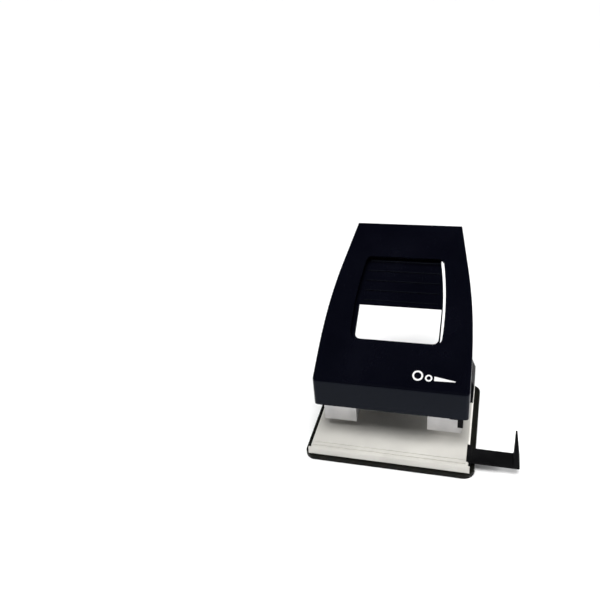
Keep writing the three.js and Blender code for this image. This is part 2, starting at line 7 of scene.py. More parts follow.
import logging
import math
from collections.abc import Sequence
from dataclasses import dataclass, field
from enum import Enum

import bmesh
import bpy
from mathutils import Matrix, Vector


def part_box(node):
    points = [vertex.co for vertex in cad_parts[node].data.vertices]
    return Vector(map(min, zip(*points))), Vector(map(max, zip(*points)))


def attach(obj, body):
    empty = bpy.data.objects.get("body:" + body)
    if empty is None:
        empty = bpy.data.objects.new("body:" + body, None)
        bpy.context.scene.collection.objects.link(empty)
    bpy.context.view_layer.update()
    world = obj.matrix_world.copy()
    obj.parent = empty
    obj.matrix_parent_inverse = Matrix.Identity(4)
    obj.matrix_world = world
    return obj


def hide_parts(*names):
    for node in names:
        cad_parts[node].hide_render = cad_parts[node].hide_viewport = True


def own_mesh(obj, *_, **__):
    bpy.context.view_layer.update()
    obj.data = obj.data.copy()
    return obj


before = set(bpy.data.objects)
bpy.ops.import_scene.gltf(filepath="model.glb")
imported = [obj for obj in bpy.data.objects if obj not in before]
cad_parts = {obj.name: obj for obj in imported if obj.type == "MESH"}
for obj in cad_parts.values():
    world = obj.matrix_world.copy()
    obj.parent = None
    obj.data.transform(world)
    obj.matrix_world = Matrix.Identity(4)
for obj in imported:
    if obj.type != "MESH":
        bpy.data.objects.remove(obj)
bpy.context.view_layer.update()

MM = 0.001
UP, DOWN = Vector((0, 0, 1)), Vector((0, 0, -1))
SIDES = (("left", -1), ("right", 1))
HOLES_APART = 80
PIN_Y = 8
PIN_RADIUS = 3
HINGE = (51.2, 6.5)
BARREL = 1.7
HINGE_BORE = 1.1
SCREW_HEAD = 1.6
SCREW_SHANK = 1.2
SCREW_SLOT = 0.8
LOG = logging.getLogger("hole_punch")

Point = tuple[float, float]
Span = tuple[float, float]
Triple = tuple[float, float, float]
Piece = bpy.types.Object


class Along(Enum):
    """The axis an outline is drawn out along, after the two axes it is drawn on."""

    X = (1, 2, 0)
    Y = (0, 2, 1)
    Z = (0, 1, 2)


class Joining(Enum):
    """What one solid does to another."""

    CUT = "DIFFERENCE"
    WELD = "UNION"
    KEEP = "INTERSECT"


# ---------------------------------------------------------------- outlines
def arc(centre: Point, radius: float, start: float, end: float, steps: int = 8) -> list[Point]:
    """Returns points along an arc.

    Args:
        centre: The middle of the arc's circle.
        radius: The circle's radius.
        start: The first angle, in degrees.
        end: The last angle, in degrees.
        steps: How many pieces the arc is cut into.

    Returns:
        The points, both ends included.
    """
    turns = [math.radians(start + (end - start) * step / steps) for step in range(steps + 1)]
    return [(centre[0] + radius * math.cos(t), centre[1] + radius * math.sin(t)) for t in turns]


def curve(knots: Sequence[Point], steps: int = 10) -> list[Point]:
    """Returns points along a Bezier curve of any order.

    Args:
        knots: The curve's first point, its control points and its last point.
        steps: How many pieces the curve is cut into.

    Returns:
        The points, both ends included.
    """
    order = len(knots) - 1
    points = []
    for step in range(steps + 1):
        t = step / steps
        shares = [math.comb(order, k) * t**k * (1 - t) ** (order - k) for k in range(order + 1)]
        points.append((sum(w * k[0] for w, k in zip(shares, knots)),
                       sum(w * k[1] for w, k in zip(shares, knots))))
    return points


def rounded_rectangle(across: Span, up: Span, radius: float, steps: int = 8) -> list[Point]:
    """Returns the outline of a rectangle with round corners, anticlockwise.

    Args:
        across: Its lowest and highest value on the first axis.
        up: Its lowest and highest value on the second axis.
        radius: The radius of each corner.
        steps: How many pieces each corner is cut into.

    Returns:
        The outline's points.
    """
    (x0, x1), (y0, y1) = across, up
    return (arc((x1 - radius, y0 + radius), radius, -90, 0, steps)
            + arc((x1 - radius, y1 - radius), radius, 0, 90, steps)
            + arc((x0 + radius, y1 - radius), radius, 90, 180, steps)
            + arc((x0 + radius, y0 + radius), radius, 180, 270, steps))


def tidy(outline: Sequence[Point], least: float = 0.01) -> list[Point]:
    """Drops the points of an outline that fall on the point before them.

    Args:
        outline: The outline.
        least: How far apart two points must be to count as two.

    Returns:
        The points that stay.
    """
    kept: list[Point] = []
    for point in outline:
        if not kept or math.dist(point, kept[-1]) > least:
            kept.append(point)
    if math.dist(kept[0], kept[-1]) <= least:
        kept.pop()
    return kept


def both(half: float) -> Span:
    """Returns the span from minus a half width to plus that half width."""
    return -half, half


# ---------------------------------------------------------------- work on one piece
def clear_selection() -> None:
    """Leaves object mode with nothing selected."""
    if bpy.context.object and bpy.context.object.mode != "OBJECT":
        bpy.ops.object.mode_set(mode="OBJECT")
    bpy.ops.object.select_all(action="DESELECT")


def activate(piece: Piece) -> None:
    """Selects one piece alone and makes it the active one."""
    clear_selection()
    piece.select_set(True)
    bpy.context.view_layer.objects.active = piece


def apply(piece: Piece, modifier: bpy.types.Modifier) -> None:
    """Applies one modifier to its piece."""
    activate(piece)
    bpy.ops.object.modifier_apply(modifier=modifier.name)


def prism(name: str, outline: Sequence[Point], along: Along, span: Span) -> Piece:
    """Draws a flat outline out into a solid.

    Args:
        name: The name of the new piece.
        outline: The outline, on the two axes that the direction leaves.
        along: The axis it is drawn out along.
        span: Where the solid starts and ends on that axis.

    Returns:
        The closed solid.
    """
    points = tidy(outline)
    clear_selection()
    bpy.ops.mesh.primitive_circle_add(vertices=len(points), fill_type="NGON")
    piece = bpy.context.object
    piece.name = name
    first, second, third = along.value
    for vertex, point in zip(piece.data.vertices, points):
        vertex.co[first] = point[0] * MM
        vertex.co[second] = point[1] * MM
        vertex.co[third] = span[0] * MM
    step = [0.0, 0.0, 0.0]
    step[third] = (span[1] - span[0]) * MM
    bpy.ops.object.mode_set(mode="EDIT")
    bpy.ops.mesh.select_all(action="SELECT")
    bpy.ops.mesh.extrude_region_move(TRANSFORM_OT_translate={"value": step})
    bpy.ops.mesh.select_all(action="SELECT")
    bpy.ops.mesh.normals_make_consistent(inside=False)
    bpy.ops.object.mode_set(mode="OBJECT")
    return piece


def block(name: str, across: Span, deep: Span, tall: Span) -> Piece:
    """Makes a plain block, for cutting and welding.

    Args:
        name: The name of the new piece.
        across: Its span along X.
        deep: Its span along Y.
        tall: Its span along Z.

    Returns:
        The block.
    """
    (x0, x1), (y0, y1) = across, deep
    return prism(name, [(x0, y0), (x1, y0), (x1, y1), (x0, y1)], Along.Z, tall)


def turned(name: str, profile: Sequence[Point], at: Triple = (0, 0, 0), closed: bool = False,
           lying: bool = False, steps: int = 40) -> Piece:
    """Spins a profile round an axis.

    Args:
        name: The name of the new piece.
        profile: Radius and height pairs. They start and end on the axis unless closed.
        at: Where the foot of the axis stands.
        closed: Whether the profile closes on itself, as on a ring.
        lying: Whether the axis lies along X and not up Z.
        steps: How many pieces the turn is cut into.

    Returns:
        The closed solid.
    """
    clear_selection()
    bpy.ops.mesh.primitive_circle_add(vertices=len(profile), fill_type="NOTHING")
    piece = bpy.context.object
    piece.name = name
    for vertex, (radius, height) in zip(piece.data.vertices, profile):
        vertex.co = Vector((radius, 0, height)) * MM
    bpy.ops.object.mode_set(mode="EDIT")
    mesh = bmesh.from_edit_mesh(piece.data)
    if not closed:
        bpy.ops.mesh.select_all(action="DESELECT")
        mesh.edges.ensure_lookup_table()
        ends = {0, len(profile) - 1}
        for edge in mesh.edges:
            edge.select_set({vertex.index for vertex in edge.verts} == ends)
        bmesh.update_edit_mesh(piece.data)
        bpy.ops.mesh.delete(type="EDGE")
    bpy.ops.mesh.select_all(action="SELECT")
    bpy.ops.mesh.spin(steps=steps, angle=math.tau, center=(0, 0, 0), axis=(0, 0, 1))
    bpy.ops.mesh.select_all(action="SELECT")
    bpy.ops.mesh.remove_doubles(threshold=0.002 * MM)
    bpy.ops.mesh.normals_make_consistent(inside=False)
    bpy.ops.object.mode_set(mode="OBJECT")
    turn = Matrix.Rotation(math.radians(90), 4, "Y") if lying else Matrix.Identity(4)
    piece.matrix_world = Matrix.Translation(Vector(at) * MM) @ turn
    return settle(piece)


def settle(piece: Piece) -> Piece:
    """Puts a piece's place and turn into its mesh, so that it stands at the origin."""
    activate(piece)
    bpy.ops.object.transform_apply(location=True, rotation=True, scale=True)
    return piece


def volume(piece: Piece) -> float:
    """Measures a closed piece.

    Args:
        piece: The piece.

    Returns:
        Its volume, in cubic millimetres.
    """
    mesh = bmesh.new()
    mesh.from_mesh(piece.data)
    found = abs(mesh.calc_volume()) / MM**3
    mesh.free()
    return found


def combine(piece: Piece, other: Piece, how: Joining) -> Piece:
    """Cuts, welds or keeps the overlap of two solids, and removes the second.

    Args:
        piece: The solid that is changed.
        other: The solid that changes it.
        how: What it does.

    Returns:
        The changed solid.

    Raises:
        RuntimeError: If more of the solid is gone than the second one can take away.
    """
    before, tool = volume(piece), volume(other)
    least = {Joining.CUT: before - tool, Joining.WELD: max(before, tool), Joining.KEEP: 0}[how]
    modifier = piece.modifiers.new("joining", "BOOLEAN")
    modifier.operation = how.value
    modifier.solver = "EXACT"
    modifier.object = other
    apply(piece, modifier)
    after = volume(piece)
    if not after or after < 0.999 * least:
        raise RuntimeError(f"{piece.name} lost {before - after:.0f} mm3 when it met {other.name}")
    bpy.data.objects.remove(other, do_unlink=True)
    return piece


def tidy_faces(piece: Piece, angle: float = 0.6) -> Piece:
    """Merges points that meet and faces that lie flat together.

    Args:
        piece: The piece to tidy.
        angle: The greatest angle between two faces that count as flat, in degrees.

    Returns:
        The piece.
    """
    activate(piece)
    bpy.ops.object.mode_set(mode="EDIT")
    bpy.ops.mesh.select_all(action="SELECT")
    bpy.ops.mesh.remove_doubles(threshold=0.004 * MM)
    bpy.ops.mesh.dissolve_limited(angle_limit=math.radians(angle))
    bpy.ops.object.mode_set(mode="OBJECT")
    return piece


def round_edges(piece: Piece, width: float, segments: int = 3, angle: float = 38) -> Piece:
    """Rounds every edge sharper than an angle.

    Args:
        piece: The piece to round.
        width: How far the rounding reaches from each edge.
        segments: How many faces make the rounding.
        angle: The least angle between two faces for their edge to be rounded, in degrees.

    Returns:
        The piece.
    """
    tidy_faces(piece)
    modifier = piece.modifiers.new("rounding", "BEVEL")
    modifier.width = width * MM
    modifier.segments = segments
    modifier.limit_method = "ANGLE"
    modifier.angle_limit = math.radians(angle)
    modifier.miter_outer = "MITER_ARC"
    apply(piece, modifier)
    return piece


def pick_facing(piece: Piece, way: Vector) -> None:
    """Goes into edit mode with only the faces that look along one direction selected.

    Args:
        piece: The piece to open.
        way: The direction.
    """
    activate(piece)
    bpy.ops.object.mode_set(mode="EDIT")
    bpy.ops.mesh.select_mode(type="FACE")
    bpy.ops.mesh.select_all(action="DESELECT")
    mesh = bmesh.from_edit_mesh(piece.data)
    for face in mesh.faces:
        face.select_set(face.normal.dot(way) > 0.999)
    bmesh.update_edit_mesh(piece.data)


def bevel_rim(piece: Piece, way: Vector, width: float, segments: int = 5) -> Piece:
    """Rounds the rim of the faces that look along one direction.

    Args:
        piece: The piece to round.
        way: The direction.
        width: How far the rounding reaches.
        segments: How many faces make the rounding.

    Returns:
        The piece.
    """
    pick_facing(piece, way)
    bpy.ops.mesh.region_to_loop()
    bpy.ops.mesh.bevel(offset=width * MM, segments=segments, affect="EDGES", clamp_overlap=False)
    bpy.ops.mesh.select_mode(type="VERT")
    bpy.ops.object.mode_set(mode="OBJECT")
    return piece


def hollow(piece: Piece, open_side: Vector, wall: float) -> Piece:
    """Opens a solid on one side and gives the skin that is left a wall inwards.

    Args:
        piece: The solid.
        open_side: The direction that the open side looks.
        wall: The thickness of the wall, less than the radius of every round edge.

    Returns:
        The piece.
    """
    pick_facing(piece, open_side)
    bpy.ops.mesh.delete(type="FACE")
    bpy.ops.mesh.select_mode(type="VERT")
    bpy.ops.object.mode_set(mode="OBJECT")
    modifier = piece.modifiers.new("wall", "SOLIDIFY")
    modifier.thickness = wall * MM
    modifier.offset = -1
    modifier.use_even_offset = True
    apply(piece, modifier)
    return piece


def polish(piece: Piece, angle: float = 42) -> Piece:
    """Smooths the shading, with flat faces kept flat beside their rounded edges.

    Args:
        piece: The finished piece.
        angle: The least angle between two faces that stays sharp, in degrees.

    Returns:
        The piece.
    """
    activate(piece)
    bpy.ops.object.shade_smooth_by_angle(angle=math.radians(angle))
    modifier = piece.modifiers.new("shading", "WEIGHTED_NORMAL")
    modifier.keep_sharp = True
    apply(piece, modifier)
    return piece


def twin(piece: Piece, name: str, shift: Triple) -> Piece:
    """Returns a copy of a piece with its own mesh, moved aside.

    Args:
        piece: The piece to copy.
        name: The name of the copy.
        shift: How far the copy stands from it.

    Returns:
        The copy, standing at the origin with its place in its mesh.
    """
    activate(piece)
    bpy.ops.object.duplicate(linked=False)
    copy = bpy.context.object
    copy.name = name
    copy.location = Vector(shift) * MM
    return settle(copy)


def remade(node: str, name: str, width: float, segments: int = 3) -> Piece:
    """Returns a finer copy of a CAD node, with its faces merged and its edges rounded.

    Args:
        node: The CAD node to copy.
        name: The name of the copy.
        width: How far each edge is rounded.
        segments: How many faces make each rounding.

    Returns:
        The copy.
    """
    piece = bpy.data.objects.new(name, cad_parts[node].data.copy())
    bpy.context.scene.collection.objects.link(piece)
    piece.data.materials.clear()
    return polish(round_edges(piece, width, segments))


@dataclass(frozen=True)
class Extent:
    """The box that a CAD node fills, in millimetres."""

    x: Span
    y: Span
    z: Span

    @classmethod
    def of(cls, node: str) -> "Extent":
        """Returns the box of one CAD node."""
        low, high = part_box(node)
        return cls(*((low[axis] / MM, high[axis] / MM) for axis in range(3)))

    @property
    def middle(self) -> Triple:
        """The middle of the box."""
        return tuple(sum(span) / 2 for span in (self.x, self.y, self.z))

    @property
    def radius(self) -> float:
        """Half the width of the box along X."""
        return (self.x[1] - self.x[0]) / 2


# ---------------------------------------------------------------- finishes
@dataclass(frozen=True)
class Finish:
    """A finish whose colour, roughness and relief vary over the piece.

    Attributes:
        name: The name of the material.
        colour: The main colour.
        drift: The colour that it drifts towards in patches.
        roughness: The least and greatest roughness.
        metallic: 1 for bare metal, 0 for the rest.
        specular: The strength of the mirror reflection.
        tint: The colour of the mirror reflection.
        patch: Patches per metre.
        grain: Grains per metre.
        stretch: How much finer the grain is along each axis.
        relief: How strongly the grain shades.
        depth: How deep the grain is, in millimetres.
        coat: The weight of a clear layer on top.
        marks: The share of the surface with fine rubbed lines.
        slot: The slot that the finish stands in, if it isn't the name. It is not used.
    """

    name: str
    colour: Triple
    drift: Triple
    roughness: Span
    metallic: float = 0.0
    specular: float = 0.5
    tint: Triple = (1, 1, 1)
    patch: float = 55.0
    grain: float = 2600.0
    stretch: Triple = (1, 1, 1)
    relief: float = 0.2
    depth: float = 0.02
    coat: float = 0.0
    marks: float = 0.0
    slot: str = ""

    def material(self) -> bpy.types.Material:
        """Returns the material, made the first time it is asked for.

        Its name ends in a word of its own, because the CAD nodes bring plain materials that are
        named after the slots.
        """
        return bpy.data.materials.get(self.title) or self.build()

    @property
    def title(self) -> str:
        """The material's full name."""
        return f"{self.name}_finish"

    def build(self) -> bpy.types.Material:
        """Makes the material's nodes.

        Returns:
            The new material.
        """
        material = bpy.data.materials.new(self.title)
        material.use_nodes = True
        tree = material.node_tree
        shader = tree.nodes["Principled BSDF"]
        place = tree.nodes.new("ShaderNodeTexCoord").outputs["Object"]
        patches = self.noise(tree, place, self.patch, (1, 1, 1), 5)
        grains = self.noise(tree, place, self.grain, self.stretch, 3)
        mix = tree.nodes.new("ShaderNodeMix")
        mix.data_type = "RGBA"
        mix.inputs["A"].default_value = (*self.colour, 1)
        mix.inputs["B"].default_value = (*self.drift, 1)
        tree.links.new(self.ranged(tree, patches, (0, 1)), mix.inputs["Factor"])
        tree.links.new(mix.outputs["Result"], shader.inputs["Base Color"])
        blend = self.sum_of(tree, patches, grains, 0.5)
        rough = self.ranged(tree, blend, self.roughness)
        if self.marks:
            rough = self.sum_of(tree, rough, self.rubbed(tree, place), 1.0, add=True)
        tree.links.new(rough, shader.inputs["Roughness"])
        bump = tree.nodes.new("ShaderNodeBump")
        bump.inputs["Strength"].default_value = self.relief
        bump.inputs["Distance"].default_value = self.depth * MM
        tree.links.new(grains, bump.inputs["Height"])
        tree.links.new(bump.outputs["Normal"], shader.inputs["Normal"])
        shader.inputs["Metallic"].default_value = self.metallic
        shader.inputs["Specular IOR Level"].default_value = self.specular
        shader.inputs["Specular Tint"].default_value = (*self.tint, 1)
        shader.inputs["Coat Weight"].default_value = self.coat
        shader.inputs["Coat Roughness"].default_value = 0.08
        material.diffuse_color = (*self.colour, 1)
        return material

    @staticmethod
    def noise(tree: bpy.types.NodeTree, place: bpy.types.NodeSocket, scale: float,
              stretch: Triple, detail: float) -> bpy.types.NodeSocket:
        """Adds a noise pattern.

        Args:
            tree: The material's nodes.
            place: The coordinates that it is laid out on.
            scale: Features per metre.
            stretch: How much finer it is along each axis.
            detail: How many finer layers it has.

        Returns:
            The pattern, around one half.
        """
        mapping = tree.nodes.new("ShaderNodeMapping")
        mapping.inputs["Scale"].default_value = stretch
        texture = tree.nodes.new("ShaderNodeTexNoise")
        texture.inputs["Scale"].default_value = scale
        texture.inputs["Detail"].default_value = detail
        tree.links.new(place, mapping.inputs["Vector"])
        tree.links.new(mapping.outputs["Vector"], texture.inputs["Vector"])
        return texture.outputs["Fac"]

    @staticmethod
    def ranged(tree: bpy.types.NodeTree, value: bpy.types.NodeSocket, span: Span,
               source: Span = (0.36, 0.66)) -> bpy.types.NodeSocket:
        """Spreads a pattern over a span, from the part of it that noise mostly fills.

        Args:
            tree: The material's nodes.
            value: The pattern.
            span: The values that it is spread over.
            source: The part of it that is spread.

        Returns:
            The spread pattern.
        """
        node = tree.nodes.new("ShaderNodeMapRange")
        for name, number in zip(("From Min", "From Max", "To Min", "To Max"), (*source, *span)):
            node.inputs[name].default_value = number
        tree.links.new(value, node.inputs["Value"])
        return node.outputs["Result"]

    @staticmethod
    def sum_of(tree: bpy.types.NodeTree, first: bpy.types.NodeSocket,
               second: bpy.types.NodeSocket, share: float, add: bool = False
               ) -> bpy.types.NodeSocket:
        """Blends or adds two patterns.

        Args:
            tree: The material's nodes.
            first: The one pattern.
            second: The other pattern.
            share: How much of the blend is the second.
            add: Whether they are added.

        Returns:
            The blend or the sum.
        """
        node = tree.nodes.new("ShaderNodeMath" if add else "ShaderNodeMix")
        if add:
            node.operation = "ADD"
            node.use_clamp = True
            sockets = node.inputs[0], node.inputs[1]
        else:
            node.inputs["Factor"].default_value = share
            sockets = node.inputs["A"], node.inputs["B"]
        tree.links.new(first, sockets[0])
        tree.links.new(second, sockets[1])
        return node.outputs[0]

    def rubbed(self, tree: bpy.types.NodeTree, place: bpy.types.NodeSocket
               ) -> bpy.types.NodeSocket:
        """Adds thin rubbed lines.

        Args:
            tree: The material's nodes.
            place: The coordinates that they are laid out on.

        Returns:
            The lines, as extra roughness.
        """
        lines = self.noise(tree, place, 260, (9, 0.6, 0.9), 2)
        return self.ranged(tree, lines, (0, 0.22), (0.72 - self.marks, 0.76))


TRAY_PLASTIC = Finish("tray_plastic", (0.0050, 0.0050, 0.0038), (0.0085, 0.0085, 0.0068),
                      (0.42, 0.62), specular=0.08, grain=1900, relief=0.35, depth=0.05)
FOOT_RUBBER = Finish("foot_rubber", (0.006, 0.006, 0.006), (0.012, 0.012, 0.011),
                     (0.75, 0.95), specular=0.25, grain=1400, relief=0.4, depth=0.06)
PLATE_PAINT = Finish("plate_paint", (0.66, 0.645, 0.60), (0.59, 0.575, 0.535),
                     (0.30, 0.46), metallic=0.12, patch=34, grain=1300, relief=0.12,
                     depth=0.03, coat=0.15, marks=0.03)
HEAD_STEEL = Finish("head_steel", (0.62, 0.615, 0.625), (0.52, 0.515, 0.525), (0.34, 0.52),
                    metallic=0.75, patch=70, grain=1500, stretch=(0.12, 1, 1.6), relief=0.18)
BRIGHT_STEEL = Finish("bright_steel", (0.58, 0.58, 0.60), (0.47, 0.47, 0.49), (0.18, 0.32),
                      metallic=1, patch=90, grain=2400, stretch=(0.2, 1, 1), relief=0.12,
                      depth=0.012)
SPRING_STEEL = Finish("spring_steel", (0.30, 0.31, 0.33), (0.22, 0.22, 0.23), (0.24, 0.40),
                      metallic=1, patch=160, grain=2800, relief=0.15, depth=0.012)
HANDLE_GLOSS = Finish("handle_gloss", (0.0013, 0.0014, 0.0036), (0.0023, 0.0025, 0.0054),
                      (0.10, 0.18), specular=0.13, tint=(0.68, 0.8, 1), patch=26, grain=900,
                      relief=0.05, marks=0.05)
BLACK_PLASTIC = Finish("black_plastic", (0.0042, 0.0042, 0.0046), (0.0078, 0.0078, 0.0082),
                       (0.48, 0.64), specular=0.03, grain=2100, relief=0.3, depth=0.04)
WHITE_PRINT = Finish("white_print", (0.86, 0.86, 0.85), (0.76, 0.76, 0.75), (0.40, 0.55),
                     specular=0.4, patch=300, grain=3000, relief=0.15, depth=0.01,
                     slot="handle_gloss")


# ---------------------------------------------------------------- the punch, one class a body
@dataclass
class SubAssembly:
    """Pieces that move as one body.

    Attributes:
        body: The CAD body that they ride on.
    """

    body: str = "base"

    def fit(self, piece: Piece, finish: Finish, *nodes: str) -> Piece:
        """Dresses a finished piece and lets it stand for its CAD nodes.

        Args:
            piece: The finished piece, standing at the origin.
            finish: What it is made of.
            nodes: The CAD nodes that it stands for.

        Returns:
            The piece.
        """
        piece.data.name = piece.name
        piece.data.materials.clear()
        piece.data.materials.append(finish.material())
        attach(piece, self.body)
        if nodes:
            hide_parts(*nodes)
        LOG.info("%s: %s, %d faces", self.body, piece.name, len(piece.data.polygons))
        return piece


def rod(name: str, node: str, chamfer: float = 0.5) -> Piece:
    """Returns a round rod along X with chamfered ends and a fine turned ring near each end.

    Args:
        name: The name of the new piece.
        node: The CAD node whose place and size it takes.
        chamfer: The size of the chamfer.

    Returns:
        The rod.
    """
    box = Extent.of(node)
    radius = (box.z[1] - box.z[0]) / 2
    long = box.x[1] - box.x[0]
    groove = min(0.18, radius / 8)
    ends = [(0, 0), (radius - chamfer, 0), (radius, chamfer), (radius, chamfer + 1.2),
            (radius - groove, chamfer + 1.35), (radius - groove, chamfer + 1.65),
            (radius, chamfer + 1.8)]
    profile = ends + [(r, long - height) for r, height in reversed(ends)]
    return polish(turned(name, profile, (box.x[0], *box.middle[1:]), lying=True))


def drill(piece: Piece, at: Point, radius: float, span: Span, along: Along = Along.Z,
          sides: int = 36) -> Piece:
    """Drills a round hole.

    Args:
        piece: The piece to drill.
        at: The middle of the hole, on the two axes that its direction leaves.
        radius: The radius of the hole.
        span: Where the drill starts and ends.
        along: The direction that it drills in.
        sides: How many faces the hole's wall has.

    Returns:
        The piece.
    """
    ring = arc(at, radius, 0, 360 - 360 / sides, sides - 1)
    return combine(piece, prism("drill", ring, along, span), Joining.CUT)


@dataclass
class ChipTray(SubAssembly):
    """The black tray that catches the paper chips, with its rubber feet and hinge pin."""

    body: str = "tray"
    corner: float = 8
    rim_top: float = 4.6
    floor: float = 1.6
    collar_x: float = 57
    collar_y: Span = (-49, 46.3)
    collar_wall: float = 1.5
    collar_top: float = 6.8
    notch: Span = (-46.5, -26.9)
    barrel_x: Span = (20, 50)
    foot: float = 5
    foot_height: float = 0.8
    feet: Point = (50, 40)

    def build(self) -> None:
        """Makes the tray, its four feet and its pin."""
        self.fit(self.tray(), TRAY_PLASTIC, "chip_tray")
        self.fit(rod("hinge_pin", "tray_hinge_pin", 0.25), BRIGHT_STEEL, "tray_hinge_pin")
        first = self.rubber_foot()
        for end, sign in (("front", -1), ("rear", 1)):
            for name, side in SIDES:
                shift = (side * self.feet[0], sign * self.feet[1], 0)
                foot = twin(first, f"rubber_foot_{end}_{name}", shift)
                self.fit(foot, FOOT_RUBBER, f"tray_foot_{end}_{name}")
        bpy.data.objects.remove(first, do_unlink=True)

    def tray(self) -> Piece:
        """Makes the rim, the collar that holds the plate, the pocket and the hinge knuckles.

        Returns:
            The tray.
        """
        box = Extent.of("chip_tray")
        half_y = -box.y[0]
        tray = prism("tray", rounded_rectangle(box.x, both(half_y), self.corner, 12), Along.Z,
                     (0, self.rim_top))
        bevel_rim(tray, UP, 1.1)
        bevel_rim(tray, DOWN, 0.5, 3)
        collar = rounded_rectangle(both(self.collar_x), self.collar_y, 4)
        combine(tray, prism("collar", collar, Along.Z, (self.floor, self.collar_top)), Joining.WELD)
        inside = self.collar_x - self.collar_wall
        y0, y1 = self.collar_y
        pocket = rounded_rectangle(both(inside), (y0 + self.collar_wall, y1 - self.collar_wall), 2.5)
        combine(tray, prism("pocket", pocket, Along.Z, (self.floor, 12)), Joining.CUT)
        combine(tray, block("notch", (inside - 1, self.collar_x + 1), self.notch,
                            (self.rim_top, 12)), Joining.CUT)
        for _, side in SIDES:
            span = tuple(sorted(side * x for x in self.barrel_x))
            root = self.rim_top - 0.5
            knuckle = ([(HINGE[0] + 0.8, root)] + arc(HINGE, BARREL, -28, 208, 20)
                       + [(HINGE[0] - 0.8, root)])
            combine(tray, prism("knuckle", knuckle, Along.X, span), Joining.WELD)
            for end in (-1, 1):
                seat = turned("seat", [(0, -1), (self.foot + 0.3, -1), (self.foot + 0.3, 1.1),
                                       (0, 1.1)], (side * self.feet[0], end * self.feet[1], 0))
                combine(tray, seat, Joining.CUT)
        drill(tray, HINGE, HINGE_BORE, both(self.barrel_x[1] + 2), Along.X, 32)
        return polish(round_edges(tray, 0.25, 2, 50))

    def rubber_foot(self) -> Piece:
        """Makes one foot, with a round edge and rings pressed into its underside.

        Returns:
            The foot, at the origin.
        """
        radius, height = self.foot, self.foot_height
        profile = [(0, 0.12), (1.6, 0.12), (1.8, 0), (2.5, 0), (2.7, 0.12), (3.3, 0.12), (3.5, 0),
                   (radius - 0.25, 0), (radius, 0.25), (radius, height), (0, height)]
        return polish(turned("foot", profile), 50)


